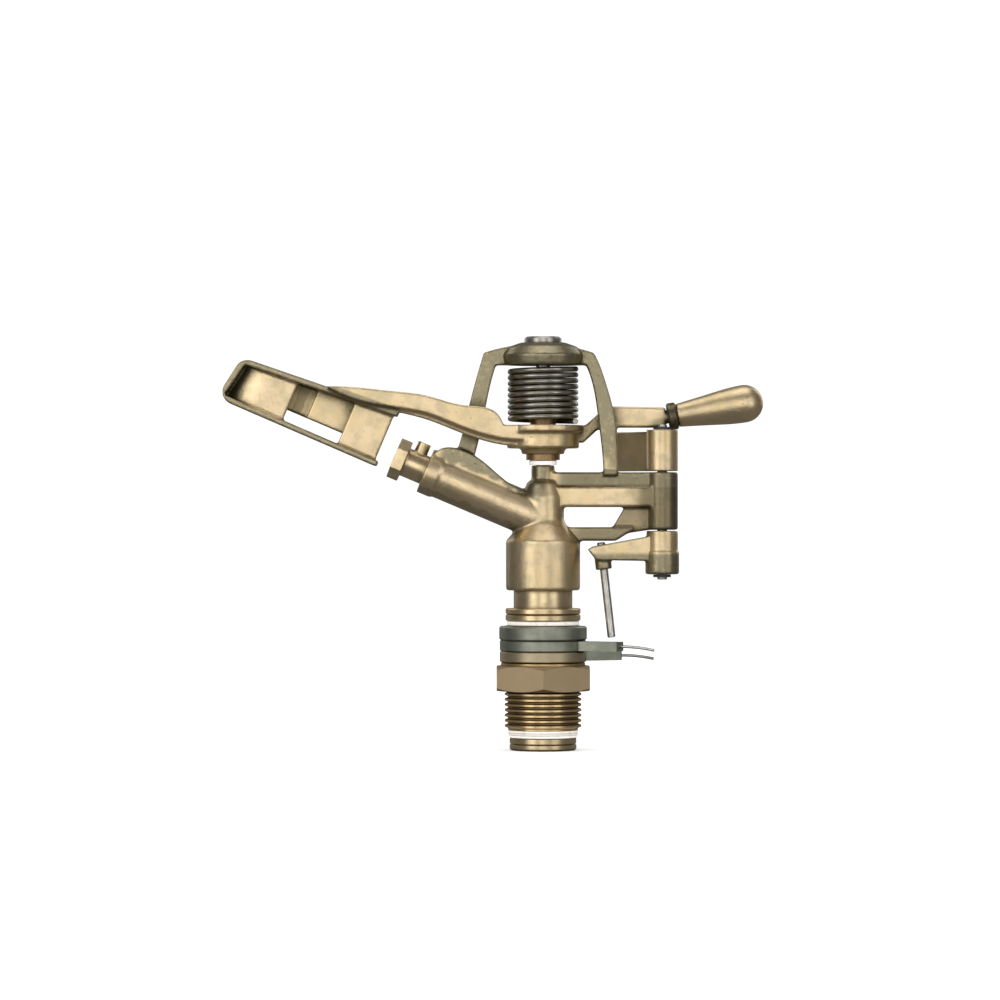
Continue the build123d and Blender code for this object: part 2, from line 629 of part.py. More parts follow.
hub_step_z = hub_z + hub_step
drum_groove_z = hub_z + 5.5
with BuildPart() as drive_arm:
    # hub with its stepped drum and the flange that carries the spring
    revolve(outline([
        (0, hub_z), (hub_r, hub_z), (hub_r, hub_step_z - 0.8), (hub_r + 0.8, hub_step_z),
        (hub_drum_r, hub_step_z), (hub_drum_r, drum_groove_z - 0.3), (hub_drum_r - 0.6, drum_groove_z),
        (hub_drum_r, drum_groove_z + 0.3), (hub_drum_r, hub_top_z - hub_flange_height),
        (hub_flange_r, hub_top_z - hub_flange_height), (hub_flange_r, hub_top_z), (0, hub_top_z),
    ]), axis=Axis.Z)
    # front bar, swept up to the spoon: a web, and a wider flange that leaves its lower edge showing
    for width, rise in ((arm_web, 0), (arm_flange_width, arm_under_edge)):
        with BuildSketch(Plane.XZ.offset(-(arm_y + arm_web / 2))):
            with BuildLine():
                lower = Spline((-3, hub_z + 3.2 + rise), (joint_x * 0.4, hub_z + 4.4 + rise),
                               (joint_x * 0.62, hub_z + 8.2 + rise), (joint_x * 0.8, joint_z - 3 + rise),
                               (joint_x - 2, joint_z + rise * 0.6), (joint_x - 24, joint_z + 8))
                end = Line(lower @ 1, (joint_x - 24.4, joint_z + 8.5))
                upper = Spline(end @ 1, (joint_x - 13, joint_z + 8), (joint_x - 4, joint_z + 7),
                               (joint_x * 0.8, joint_z + 5.2), (joint_x * 0.55, joint_z + 2),
                               (joint_x * 0.36, joint_z + 0.6), (-hub_flange_r + 0.4, hub_top_z))
                Polyline(upper @ 1, (-3, hub_top_z), lower @ 0)
            make_face()
        extrude(amount=width)
    # spoon frame: two rails and a rounded tip
    extrude(spoon_outline(), amount=spoon_width)
    with BuildSketch(spoon_plane(spoon_near_y)):
        with BuildLine():
            Polyline((-1, spoon_rail), (spoon_length - tip_wall, spoon_rail + 0.4),
                     (spoon_length - tip_wall - 2.4, spoon_tip - spoon_rail),
                     (-1, spoon_mouth - spoon_rail), close=True)
        make_face()
    extrude(amount=spoon_width, mode=Mode.SUBTRACT)
    # near guide wall, middle vane, back wall and the deflector
    extrude(outline([(1.0, 0.4), (15.0, 0.4), (15.0, 17.4), (1.0, 18.6)],
                    spoon_plane(spoon_near_y + wall_recess)), amount=spoon_wall)
    extrude(outline([(12.0, 6.0), (28.5, 6.0), (28.5, 16.6), (12.0, 17.4)],
                    spoon_plane(spoon_near_y + spoon_width * 0.4)), amount=spoon_wall)
    extrude(outline([(14.5, 6.0), (41.0, 6.0), (41.0, 16.4), (14.5, 17.4)],
                    spoon_plane(spoon_near_y + spoon_width - spoon_wall)), amount=spoon_wall)
    add(deflector.part)
    # rear bar, the lug that the shift lever blocks, and the stud for the weight
    extrude(outline([
        (2.0, hub_z + 4), (hub_drum_r + 1.6, hub_z + 4), (lug_inner_x - 1.5, rear_bar_bottom_z - 0.6),
        (lug_inner_x, rear_bar_bottom_z - 1), (lug_inner_x, rear_bar_bottom_z - lug_drop),
        (lug_inner_x + lug_width, rear_bar_bottom_z - lug_drop),
        (lug_inner_x + lug_width, rear_bar_bottom_z), (rear_bar_end_x, rear_bar_bottom_z),
        (rear_bar_end_x, rear_bar_top_z), (22.0, rear_bar_top_z + 0.4),
        (hub_flange_r + 0.6, hub_top_z), (2.0, hub_top_z),
    ], Plane.XZ.offset(-(rear_y + arm_web / 2))), amount=arm_web)
    with BuildSketch(weight_plane(-4)):
        Circle(stud_r)
    extrude(amount=4 + stud_length)
    # bore for the bush
    with BuildSketch(Plane.XY.offset(hub_z - 1)):
        Circle(bush_r + seat_gap)
    extrude(amount=hub_top_z - hub_z + 2, mode=Mode.SUBTRACT)
keep("drive_arm", drive_arm.part)

with BuildPart() as weight_collar:
    with BuildSketch(weight_plane(weight_collar_start)):
        Circle(weight_collar_r)
        Circle(stud_r + seat_gap, mode=Mode.SUBTRACT)
    extrude(amount=weight_collar_length - weight_collar_start)
    chamfer(weight_collar.edges().filter_by(GeomType.CIRCLE).sort_by(SortBy.RADIUS)[-2:], 0.5)
keep("weight_collar", weight_collar.part)

club_start = weight_collar_length + weight_gap
club_plane = weight_plane(club_start)
club_side = Plane(origin=club_plane.origin, x_dir=weight_dir, z_dir=(0, -1, 0))
ball_centre = weight_length - weight_large_r
weight_middle_r = (weight_small_r + weight_large_r) / 2 + 0.2
with BuildPart() as counterweight:
    with BuildSketch(club_side):
        with BuildLine():
            swell = Spline((0, weight_small_r), (ball_centre / 2, weight_middle_r),
                           (ball_centre, weight_large_r), tangents=((1, 0.12), (1, 0)))
            nose = RadiusArc(swell @ 1, (weight_length, 0), weight_large_r)
            Polyline(nose @ 1, (0, 0), (0, weight_small_r))
        make_face()
    revolve(axis=Axis(club_plane.origin, weight_dir))
    with BuildSketch(club_plane):
        Circle(stud_r + seat_gap)
    extrude(amount=stud_length - club_start + 1.0, mode=Mode.SUBTRACT)
keep("counterweight", counterweight.part)

# =============================================================================
# Trip mechanism
# =============================================================================
pivot_axis = Axis((pivot_x, 0, 0), (0, 0, 1))
coil_pocket_r = pivot_r + coil_pocket_wall
low_clip_z = trip_foot_z - clip_height - clip_gap
high_clip_z = shift_top_z + clip_gap
pin_bottom_z = low_clip_z - pin_end
pin_top_z = high_clip_z + clip_height + pin_end


def at_pivot(points):
    """Outline of (radius, height) points about the pivot pin, ready to turn."""
    return outline([(pivot_x + radius, height) for radius, height in points])


with BuildPart() as pivot_pin:
    revolve(at_pivot([
        (0, pin_bottom_z), (pivot_r - 0.3, pin_bottom_z), (pivot_r, pin_bottom_z + 0.3),
        (pivot_r, low_clip_z), (pivot_r - groove_depth, low_clip_z),
        (pivot_r - groove_depth, low_clip_z + clip_height), (pivot_r, low_clip_z + clip_height),
        (pivot_r, high_clip_z), (pivot_r - groove_depth, high_clip_z),
        (pivot_r - groove_depth, high_clip_z + clip_height), (pivot_r, high_clip_z + clip_height),
        (pivot_r, pin_top_z - 0.3), (pivot_r - 0.3, pin_top_z), (0, pin_top_z),
    ]), axis=pivot_axis)
keep("pivot_pin", pivot_pin.part)

for name, bottom in (("lower_pivot_clip", low_clip_z), ("upper_pivot_clip", high_clip_z)):
    with BuildPart() as clip:
        with BuildSketch(Plane.XY.offset(bottom + seat_gap)):
            with Locations((pivot_x, 0)):
                Circle(clip_r)
                Circle(pivot_r - groove_depth + seat_gap, mode=Mode.SUBTRACT)
            with Locations((pivot_x + clip_r, 0)):
                Rectangle(2 * clip_r, 1.8, mode=Mode.SUBTRACT)
        extrude(amount=clip_height - 2 * seat_gap)
    keep(name, clip.part)

wing_dir = (cos(radians(wing_angle)), sin(radians(wing_angle)), 0)
wing_plane = Plane(origin=(pivot_x, 0, shift_z), x_dir=wing_dir)
with BuildPart() as shift_lever:
    with BuildSketch(Plane.XY.offset(shift_z)):
        with Locations((pivot_x, 0)):
            Circle(pivot_boss_r)
    extrude(amount=shift_top_z - shift_z)
    with BuildSketch(wing_plane):
        with Locations((wing_reach / 2, 0)):
            Rectangle(wing_reach, wing_thickness)
        with Locations((wing_reach, 0)):
            Circle(nose_r)
    extrude(amount=shift_top_z - shift_z - 0.6)
    with BuildSketch(Plane.XY.offset(shift_z)):
        with Locations((pivot_x, 0)):
            Circle(pivot_r + running_gap)
    extrude(amount=shift_top_z - shift_z, mode=Mode.SUBTRACT)
keep("shift_lever", shift_lever.part)

wire_dir = (sin(radians(wire_lean)), 0, -cos(radians(wire_lean)))


def along_wire(distance):
    """Plane square to the trip wire, this far below the lever's underside."""
    origin = (wire_x + wire_dir[0] * distance, 0, wire_z + wire_dir[2] * distance)
    return Plane(origin=origin, x_dir=(0, 1, 0), z_dir=wire_dir)


with BuildPart() as trip_lever:
    revolve(at_pivot([
        (0, trip_foot_z), (trip_foot_r - 0.5, trip_foot_z), (trip_foot_r, trip_foot_z + 0.5),
        (trip_foot_r, trip_foot_z + trip_foot_height - 0.6),
        (pivot_boss_r, trip_foot_z + trip_foot_height), (pivot_boss_r, trip_top_z), (0, trip_top_z),
    ]), axis=pivot_axis)
    extrude(outline([
        (wire_x - 2.4, wire_z), (pivot_x, wire_z - 0.4), (pivot_x, trip_top_z - 1.0),
        (lever_end_x + 1.6, wire_z + 4.6), (lever_end_x, wire_z + 3.6),
    ]), amount=lever_width / 2, both=True)
    with BuildSketch(along_wire(-2)):
        Circle(wire_r + guide_wall)
    extrude(amount=2 + guide_drop)
    with BuildSketch(along_wire(-wire_above)):
        Circle(wire_r + running_gap)
    extrude(amount=wire_above + guide_drop + 2, mode=Mode.SUBTRACT)
    revolve(at_pivot([
        (0, trip_foot_z), (pivot_r + running_gap, trip_foot_z),
        (pivot_r + running_gap, trip_top_z - coil_pocket_depth),
        (coil_pocket_r, trip_top_z - coil_pocket_depth), (coil_pocket_r, trip_top_z), (0, trip_top_z),
    ]), axis=pivot_axis, mode=Mode.SUBTRACT)
keep("trip_lever", trip_lever.part)

coil_height = coil_pocket_depth - 2 * coil_wire_r - clearance
keep("trip_spring", coil((pivot_r + coil_pocket_r) / 2, coil_wire_r, coil_height / coil_turns,
                         trip_top_z - coil_pocket_depth + coil_wire_r + clearance / 2, coil_height, pivot_x))

with BuildPart() as trip_wire:
    with BuildSketch(along_wire(-wire_above)):
        Circle(wire_r)
    extrude(amount=wire_above + wire_below)
    chamfer(trip_wire.edges().filter_by(GeomType.CIRCLE), 0.3)
keep("trip_wire", trip_wire.part)

for name, part in pieces.items():
    export_step(part, f"parts/{name}.step")
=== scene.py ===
"""Brass part-circle impact sprinkler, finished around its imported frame.

The castings and the nozzle are smoothed copies of their frame pieces, the other parts keep
their frame shape, and every surface gets a finish: tumbled cast brass, turned brass, dull
plating, drawn stainless wire, nylon and rubber.
"""
import json
from math import cos, pi, radians, sin

import bpy
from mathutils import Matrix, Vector


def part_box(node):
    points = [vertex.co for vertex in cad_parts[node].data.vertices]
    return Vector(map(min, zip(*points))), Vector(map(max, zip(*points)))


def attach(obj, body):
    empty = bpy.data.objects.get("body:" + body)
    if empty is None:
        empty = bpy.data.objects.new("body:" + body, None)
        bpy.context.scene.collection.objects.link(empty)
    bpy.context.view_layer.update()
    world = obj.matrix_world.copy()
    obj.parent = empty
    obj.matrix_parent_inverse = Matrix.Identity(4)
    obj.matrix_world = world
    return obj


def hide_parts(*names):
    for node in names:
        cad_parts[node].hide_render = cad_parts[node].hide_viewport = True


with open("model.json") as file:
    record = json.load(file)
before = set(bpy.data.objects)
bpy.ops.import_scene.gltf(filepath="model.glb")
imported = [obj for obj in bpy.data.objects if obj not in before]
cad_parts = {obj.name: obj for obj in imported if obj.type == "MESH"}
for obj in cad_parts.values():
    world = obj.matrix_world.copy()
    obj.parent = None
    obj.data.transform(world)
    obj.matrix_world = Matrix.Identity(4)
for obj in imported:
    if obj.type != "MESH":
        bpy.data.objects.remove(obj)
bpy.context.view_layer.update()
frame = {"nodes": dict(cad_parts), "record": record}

MM = 0.001
nodes = frame["nodes"]

# ---- places that the finishes are measured from, in millimetres --------------
backwards = Vector((1, 0, 0))       # from the riser to the trip mechanism
sideways = Vector((0, 1, 0))
upwards = Vector((0, 0, 1))
nozzle_tilt = radians(23)
jet = Vector((-cos(nozzle_tilt), 0, sin(nozzle_tilt)))
jet_up = Vector((sin(nozzle_tilt), 0, cos(nozzle_tilt)))
origin = Vector((0, 0, 0))

nozzle_low, nozzle_high = (Vector(corner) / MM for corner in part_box("nozzle"))
lug_lift = 0.45                     # the lug on the nozzle's neck raises the middle of its box
nozzle_middle = (nozzle_low + nozzle_high) / 2 - lug_lift * jet_up
hump_foot = 5.0                     # above the barrel's middle line
hump_span = (-40, -6)               # along the jet, from the nozzle's middle
keel_top = -4.4
keel_end_x = -8.0

bridge_dull_z = 112.5               # over the riser's axis
bridge_dull_slope = 0.66
bracket_lip_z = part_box("shift_lever")[0][2] / MM - 5.4
bracket_lip_height = 6.0
window_top_z = bracket_lip_z - 7.5
window_foot_z = bracket_lip_z - 13.9
bracket_foot_z = bracket_lip_z - 19.0
gusset_x = 21.0                     # where the gusset behind the window starts to darken
bracket_end_x = 27.5

lever_foot_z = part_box("trip_lever")[0][2] / MM
lever_shade_top = 6.2             # painted shade on the lever stops this far above its foot
hexagon_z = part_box("bearing_nipple")[0][2] / MM + 13.4
hexagon_height = 8.6

arm_low = Vector(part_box("drive_arm")[0]) / MM
spoon_reach = 52.4                  # from the arm's tip back to the spoon's lower inner corner
spoon_corner = Vector((arm_low.x + spoon_reach, 0, arm_low.z))
spoon_length = 59.4
spoon_mouth = 20.6                  # at its inner end
spoon_taper = 0.067                 # its top rail comes down by this much of the way out
spoon_tip_lean = 0.17
vane_back = (30.0, 36.5)            # along the spoon, from its corner
vane_slot = (31.4, 34.6)


# =============================================================================
# Shader maths
# =============================================================================
class Value:
    """One output of a shader node, which can be used in plain arithmetic."""

    def __init__(self, finish, socket):
        self.finish = finish
        self.socket = socket

    def _maths(self, operation, first, second):
        return self.finish.node("ShaderNodeMath", {"operation": operation}, {0: first, 1: second})

    def __add__(self, other):
        return self._maths("ADD", self, other)

    def __radd__(self, other):
        return self._maths("ADD", other, self)

    def __sub__(self, other):
        return self._maths("SUBTRACT", self, other)

    def __rsub__(self, other):
        return self._maths("SUBTRACT", other, self)

    def __mul__(self, other):
        return self._maths("MULTIPLY", self, other)

    def __rmul__(self, other):
        return self._maths("MULTIPLY", other, self)


class Finish:
    """A material under construction, with the few patterns that the finishes share."""

    def __init__(self, name):
        self.material = bpy.data.materials.new(name)
        self.material.use_nodes = True
        self.tree = self.material.node_tree
        self.tree.nodes.clear()
        self.place = self.node("ShaderNodeTexCoord", output="Object")

    def node(self, kind, settings=None, inputs=None, output=0):
        """Adds a node, with its settings first, then the values or links of its sockets."""
        new = self.tree.nodes.new(kind)
        for name, setting in (settings or {}).items():
            if name == "stops":
                for stop, (position, colour) in zip(new.color_ramp.elements, setting):
                    stop.position = position
                    stop.color = colour
            else:
                setattr(new, name, setting)
        for name, value in (inputs or {}).items():
            if isinstance(value, Value):
                self.tree.links.new(value.socket, new.inputs[name])
            else:
                new.inputs[name].default_value = value
        return Value(self, new.outputs[output])

    def noise(self, size_mm, detail=3.0, rough=0.55, stretch=(1, 1, 1)):
        """Soft random value from 0 to 1 whose blotches are about this size."""
        place = self.node("ShaderNodeVectorMath", {"operation": "MULTIPLY"},
                          {0: self.place, 1: stretch})
        return self.node("ShaderNodeTexNoise", None,
                         {"Vector": place, "Scale": 1 / (size_mm * MM),
                          "Detail": detail, "Roughness": rough})

    def step(self, value, low, high, bottom=0.0, top=1.0):
        """Value eased from bottom to top as the input goes from low to high."""
        return self.node("ShaderNodeMapRange", {"interpolation_type": "SMOOTHSTEP"},
                         {"Value": value, "From Min": low, "From Max": high,
                          "To Min": bottom, "To Max": top})

    def fall(self, value, low, high):
        """1 below the low value, eased to 0 at the high one."""
        return self.step(value, low, high, 1.0, 0.0)

    def blend(self, factor, first, second):
        """Colour between two colours."""
        return self.node("ShaderNodeMix", {"data_type": "RGBA"},
                         {0: factor, 6: first, 7: second}, output=2)

    def along(self, direction, start):
        """Distance in millimetres from a starting point, measured along a direction."""
        reach = self.node("ShaderNodeVectorMath", {"operation": "DOT_PRODUCT"},
                          {0: self.place, 1: direction / MM}, output="Value")
        return reach - start.dot(direction)

    def between(self, value, low, high, soft):
        """1 between two values, fading to 0 over a soft edge outside them."""
        return self.step(value, low - soft, low) * self.fall(value, high, high + soft)

    def most(self, first, *others):
        """The largest of several values."""
        for other in others:
            first = self.node("ShaderNodeMath", {"operation": "MAXIMUM"}, {0: first, 1: other})
        return first

    def crevice(self, reach_mm):
        """1 in the open, falling to 0 in corners and under ledges."""
        return self.node("ShaderNodeAmbientOcclusion", {"samples": 8},
                         {"Distance": reach_mm * MM}, output="AO")

    def bump(self, height, depth_mm, normal=None):
        """Surface normal tilted by a height from 0 to 1 that stands for this depth."""
        links = {"Height": height, "Distance": depth_mm * MM}
        if normal is not None:
            links["Normal"] = normal
        return self.node("ShaderNodeBump", None, links)

    def surface(self, colour, roughness, metallic=0.0, normal=None, **fixed):
        """Closes the material with its shader; fixed sockets hold one number all over."""
        links = {"Base Color": colour, "Roughness": roughness, "Metallic": metallic}
        if normal is not None:
            links["Normal"] = normal
        for name, value in fixed.items():
            links[name.replace("_", " ").title()] = value
        shader = self.node("ShaderNodeBsdfPrincipled", None, links)
        end = self.tree.nodes.new("ShaderNodeOutputMaterial")
        self.tree.links.new(shader.socket, end.inputs["Surface"])
        return self.material


def rgb(red, green, blue):
    return (red, green, blue, 1.0)


# =============================================================================
# Finishes
# =============================================================================
def cast_brass(name, darkened_places, deep_shade_places):
    """Sand-cast brass, tumbled: fine grain, soft blotches, and painted olive shade in its corners.

    Darkened places are painted olive: painted shade, and a darker bridge on the body; deep shade
    places are painted dark brown shade.
    Each is a function that takes the finish and gives a value from 0 to 1.
    """
    finish = Finish(name)
    grain = finish.noise(0.5, detail=4)
    pits = finish.step(finish.noise(1.1, detail=2), 0.24, 0.34)
    blotch = finish.noise(14, detail=3)
    cloud = finish.noise(4.5, detail=4)
    speckle = finish.noise(1.6, detail=3)
    uneven = (cloud - 0.5) * 0.4 + (speckle - 0.5) * 0.15
    # painted shade: ambient occlusion darkens the brass to dark olive in corners and under ledges
    corners = finish.step(finish.crevice(6) + uneven, 0.42, 0.95)
    tan = finish.blend(finish.step(blotch, 0.35, 0.65),
                       rgb(0.80, 0.62, 0.34), rgb(0.88, 0.69, 0.44))
    wear_and_shade = finish.blend(finish.step(cloud, 0.42, 0.70), tan, rgb(0.70, 0.57, 0.35))
    # painted olive shade on the darkened places
    if darkened_places:
        patchy = 0.90 - finish.step(speckle, 0.50, 0.75) * 0.25
        wear_and_shade = finish.blend(darkened_places(finish, cloud) * patchy, wear_and_shade, rgb(0.285, 0.255, 0.165))
    # painted dark brown shade on the deep shade places
    if deep_shade_places:
        wear_and_shade = finish.blend(deep_shade_places(finish, cloud) * 0.8, wear_and_shade, rgb(0.16, 0.13, 0.07))
    colour = finish.blend(corners, rgb(0.17, 0.155, 0.09), wear_and_shade)
    roughness = 0.50 - corners * 0.13 + (grain - 0.5) * 0.18 + (cloud - 0.5) * 0.10
    height = grain * 0.55 + pits * 0.45 + speckle * 0.25
    return finish.surface(colour, roughness, 1.0, finish.bump(height, 0.12))


def body_shade_and_dark_bridge(finish, cloud):
    """Painted shade on the barrel's hump and keel and on the bracket's lip, lower arm and end, and a
    darker bridge.
    """
    wander = (cloud - 0.5) * 6
    across = finish.along(backwards, origin)
    height = finish.along(upwards, origin)
    bridge = finish.step(height + across * bridge_dull_slope + wander,
                         bridge_dull_z - 2, bridge_dull_z + 3)
    off_jet = finish.along(jet_up, nozzle_middle) + wander
    hump = finish.step(off_jet, hump_foot, hump_foot + 1.6)
    hump = hump * finish.between(finish.along(jet, nozzle_middle), *hump_span, 3)
    keel = finish.fall(off_jet, keel_top - 1.2, keel_top)
    keel = keel * finish.fall(across, keel_end_x - 4, keel_end_x)
    lip = finish.between(height + wander * 0.3, bracket_lip_z, bracket_lip_z + bracket_lip_height, 0.6)
    lip = lip * finish.step(across, 4, 7)
    lower_arm = finish.between(height, bracket_foot_z, window_foot_z, 0.8)
    lower_arm = lower_arm * finish.step(across, 8, 12)
    end = finish.step(across, bracket_end_x + 4.5, bracket_end_x + 7.5)
    end = end * finish.fall(height, bracket_lip_z + 3, bracket_lip_z + 5)
    return finish.most(bridge, hump, keel * 0.6, lip, lower_arm * 0.8, end * 0.8)


def body_deep_shade(finish, cloud):
    """Painted deep shade on the bracket: its end and gusset, and a little of its lip and lower arm."""
    across = finish.along(backwards, origin)
    height = finish.along(upwards, origin)
    ragged = across + (cloud - 0.5) * 4
    end = finish.step(ragged, bracket_end_x, bracket_end_x + 7.5)
    end = end * finish.between(height, window_foot_z - 0.6, bracket_lip_z - 0.5, 1)
    gusset = finish.step(ragged, gusset_x, gusset_x + 4)
    gusset = gusset * finish.between(height, window_foot_z - 0.6, window_top_z, 1)
    lip = finish.between(height, bracket_lip_z, bracket_lip_z + bracket_lip_height - 0.5, 0.6)
    lip = lip * finish.step(across, 6, 10)
    lower_arm = finish.between(height, bracket_foot_z, window_foot_z, 0.8)
    lower_arm = lower_arm * finish.step(across, 10, 14)
    return finish.most(end * 0.85, gusset * 0.85, lip * 0.40, lower_arm * 0.60)


def arm_rim_shade(finish, cloud):
    """Painted shade on the rails of the spoon and on its tip."""
    wander = (cloud - 0.5) * 3
    out = finish.along(jet, spoon_corner)
    up = finish.along(jet_up, spoon_corner)
    inside = finish.step(out, -2, 1)
    below_top = up + out * spoon_taper - spoon_mouth
    top_rail = finish.step(below_top + wander, -3.0, -1.8) * finish.fall(below_top, 0.4, 1.2)
    low_rail = finish.fall(up + wander, 1.6, 2.6)
    tip = finish.step(out + up * spoon_tip_lean + wander, spoon_length - 3.0, spoon_length - 1.6)
    return finish.most(top_rail, low_rail, tip) * inside * 0.9


def arm_vane_shade(finish, cloud):
    """Painted shade behind the vane, darkest in the slot beside it."""
    out = finish.along(jet, spoon_corner) + (cloud - 0.5) * 2
    back = finish.between(out, *vane_back, 1.2)
    slot = finish.between(out, *vane_slot, 0.8)
    return finish.most(back * 0.6, slot) * finish.step(finish.along(sideways, origin), 2, 4)


def lever_underside_shade(finish, cloud):
    """Painted shade on the trip lever's foot and underside; its top is left bright."""
    lift = finish.along(upwards, origin) - lever_foot_z
    return finish.fall(lift + (cloud - 0.5) * 2, lever_shade_top, lever_shade_top + 1.8)


def turned_brass(name, bright, browned, darkened_places):
    """Turned brass: fine rings left by the tool, and painted shade in each groove.

    Darkened places are matt and browned; they are given by a function, as on a casting.
    """
    finish = Finish(name)
    rings = finish.noise(0.30, detail=2, stretch=(0.02, 0.02, 1.0))
    smear = finish.noise(5, detail=4)
    spots = finish.noise(1.2, detail=3)
    # painted shade: ambient occlusion darkens the brass in each groove and hollow
    grooves = finish.step(finish.crevice(2.2) + (smear - 0.5) * 0.35, 0.30, 0.90)
    metal = finish.blend(finish.step(smear, 0.35, 0.7), rgb(*bright), rgb(*browned))
    metal = finish.blend(finish.step(spots, 0.56, 0.74) * 0.5, metal, rgb(0.48, 0.36, 0.20))
    roughness = 0.27 + rings * 0.12 + (1 - grooves) * 0.22 + (smear - 0.5) * 0.12
    if darkened_places:
        dull = darkened_places(finish, smear)
        metal = finish.blend(dull * 0.8, metal, rgb(0.57, 0.44, 0.28))
        roughness = roughness + dull * 0.14
    colour = finish.blend(grooves, rgb(0.22, 0.15, 0.07), metal)
    return finish.surface(colour, roughness, 1.0, finish.bump(rings * 0.7 + spots * 0.3, 0.025))


def nipple_dull(finish, smear):
    """The hexagon band, made matt and browner."""
    height = finish.along(upwards, origin) + (smear - 0.5)
    return finish.between(height, hexagon_z, hexagon_z + hexagon_height, 0.6)


def dark_brass():
    """Dark brass in two dark brown tones."""
    finish = Finish("dark_brass")
    smear = finish.noise(3, detail=4)
    grain = finish.noise(0.6, detail=3)
    colour = finish.blend(finish.step(smear, 0.35, 0.7),
                          rgb(0.13, 0.11, 0.07), rgb(0.25, 0.21, 0.13))
    uneven = smear * 0.4 + grain * 0.6
    return finish.surface(colour, 0.36 + smear * 0.2, 1.0, finish.bump(uneven, 0.04))


def grey_plating(name, bare_from, bare_to):
    """Dull grey-green plating, rubbed through to brass where a noise is over these values."""
    finish = Finish(name)
    grain = finish.noise(0.8, detail=4)
    smear = finish.noise(5, detail=4)
    rubbed = finish.step(finish.noise(2.4, detail=4), bare_from, bare_to)
    # painted shade: ambient occlusion darkens the plating in each groove and hollow
    grooves = finish.step(finish.crevice(2), 0.3, 0.9)
    plate = finish.blend(finish.step(smear, 0.35, 0.68),
                         rgb(0.31, 0.33, 0.26), rgb(0.42, 0.43, 0.35))
    plate = finish.blend(rubbed * 0.8, plate, rgb(0.62, 0.50, 0.31))
    colour = finish.blend(grooves, rgb(0.09, 0.09, 0.07), plate)
    return finish.surface(colour, 0.38 + grain * 0.16, 1.0, finish.bump(grain, 0.04))


def bronze():
    """Sintered bronze, oiled."""
    finish = Finish("bronze_bush")
    grain = finish.noise(0.4, detail=4)
    oil = finish.noise(3, detail=3)
    colour = finish.blend(finish.step(grain, 0.4, 0.6),
                          rgb(0.36, 0.22, 0.11), rgb(0.50, 0.33, 0.17))
    return finish.surface(colour, 0.30 + grain * 0.2 + oil * 0.12, 1.0, finish.bump(grain, 0.03))


def drawn_steel(name, tint, shade, streak_mm):
    """Stainless wire or pin with fine draw marks along it, browned a little by water."""
    finish = Finish(name)
    streaks = finish.noise(streak_mm, detail=3, stretch=(1, 1, 0.15))
    smear = finish.noise(4, detail=4)
    # painted shade: ambient occlusion darkens the steel in gaps and between coils
    gaps = finish.step(finish.crevice(1.5), 0.15, 0.85)
    steel = finish.blend(finish.step(smear, 0.38, 0.66), rgb(*tint), rgb(*shade))
    colour = finish.blend(gaps, rgb(0.10, 0.09, 0.07), steel)
    return finish.surface(colour, 0.24 + streaks * 0.16, 1.0, finish.bump(streaks, 0.015))


def clip_steel():
    """Dark phosphated spring steel."""
    finish = Finish("dark_steel_clip")
    grain = finish.noise(0.5, detail=3)
    colour = finish.blend(grain, rgb(0.04, 0.04, 0.04), rgb(0.11, 0.11, 0.10))
    return finish.surface(colour, 0.45 + grain * 0.2, 0.8, finish.bump(grain, 0.02))


def moulded(name, tint, shade):
    """Moulded nylon or rubber, a little stained by use."""
    finish = Finish(name)
    grain = finish.noise(0.4, detail=3)
    stain = finish.noise(3, detail=4)
    # painted shade: ambient occlusion darkens the crevices
    crevice_shade = finish.step(finish.crevice(1.2), 0.2, 0.8)
    clean = finish.blend(finish.step(stain, 0.48, 0.75), rgb(*tint), rgb(*shade))
    colour = finish.blend(crevice_shade, rgb(*(part * 0.55 for part in shade)), clean)
    return finish.surface(colour, 0.44 + grain * 0.2, 0.0, finish.bump(grain, 0.03))


cast_places = {
    "cast_brass": (None, None),
    "body_brass_painted_shade": (body_shade_and_dark_bridge, body_deep_shade),
    "arm_brass_painted_shade": (arm_rim_shade, arm_vane_shade),
    "lever_brass_painted_shade": (lever_underside_shade, None),
}
turned_looks = {
    "machined_brass": ((0.82, 0.65, 0.39), (0.64, 0.51, 0.31), None),
    "thread_brass": ((0.88, 0.64, 0.30), (0.76, 0.55, 0.28), nipple_dull),
}
plating_looks = {
    "grey_plated_brass": (0.64, 0.76),
    "rubbed_plating": (0.22, 0.45),
}
steel_looks = {
    "stainless_wire": ((0.66, 0.65, 0.61), (0.52, 0.49, 0.43), 0.3),
    "spring_wire": ((0.44, 0.42, 0.37), (0.32, 0.29, 0.22), 0.3),
    "stainless_pin": ((0.50, 0.48, 0.44), (0.40, 0.37, 0.31), 0.5),
}
moulded_looks = {
    "white_nylon": ((0.84, 0.80, 0.74), (0.66, 0.60, 0.50)),
    "pale_rubber": ((0.66, 0.60, 0.54), (0.50, 0.44, 0.38)),
}
finishes = {"dark_brass": dark_brass(), "bronze_bush": bronze(), "dark_steel_clip": clip_steel()}
for make_finish, looks in ((cast_brass, cast_places), (turned_brass, turned_looks),
                           (grey_plating, plating_looks), (drawn_steel, steel_looks),
                           (moulded, moulded_looks)):
    for finish_name, look in looks.items():
        finishes[finish_name] = make_finish(finish_name, *look)

# the pieces whose finish differs from that of their material slot
own_finish = {
    "body_casting": "body_brass_painted_shade",
    "drive_arm": "arm_brass_painted_shade",
    "trip_lever": "lever_brass_painted_shade",
    "bearing_nipple": "thread_brass",
    "lower_collar_ring": "rubbed_plating",
    "arm_spring": "spring_wire",
}
slot_of = {piece["node"]: piece["material_slot"] for piece in frame["record"]["subparts"]}
body_of = {node: body for body, members in frame["record"]["behaviour"]["bodies"].items()
           for node in members}


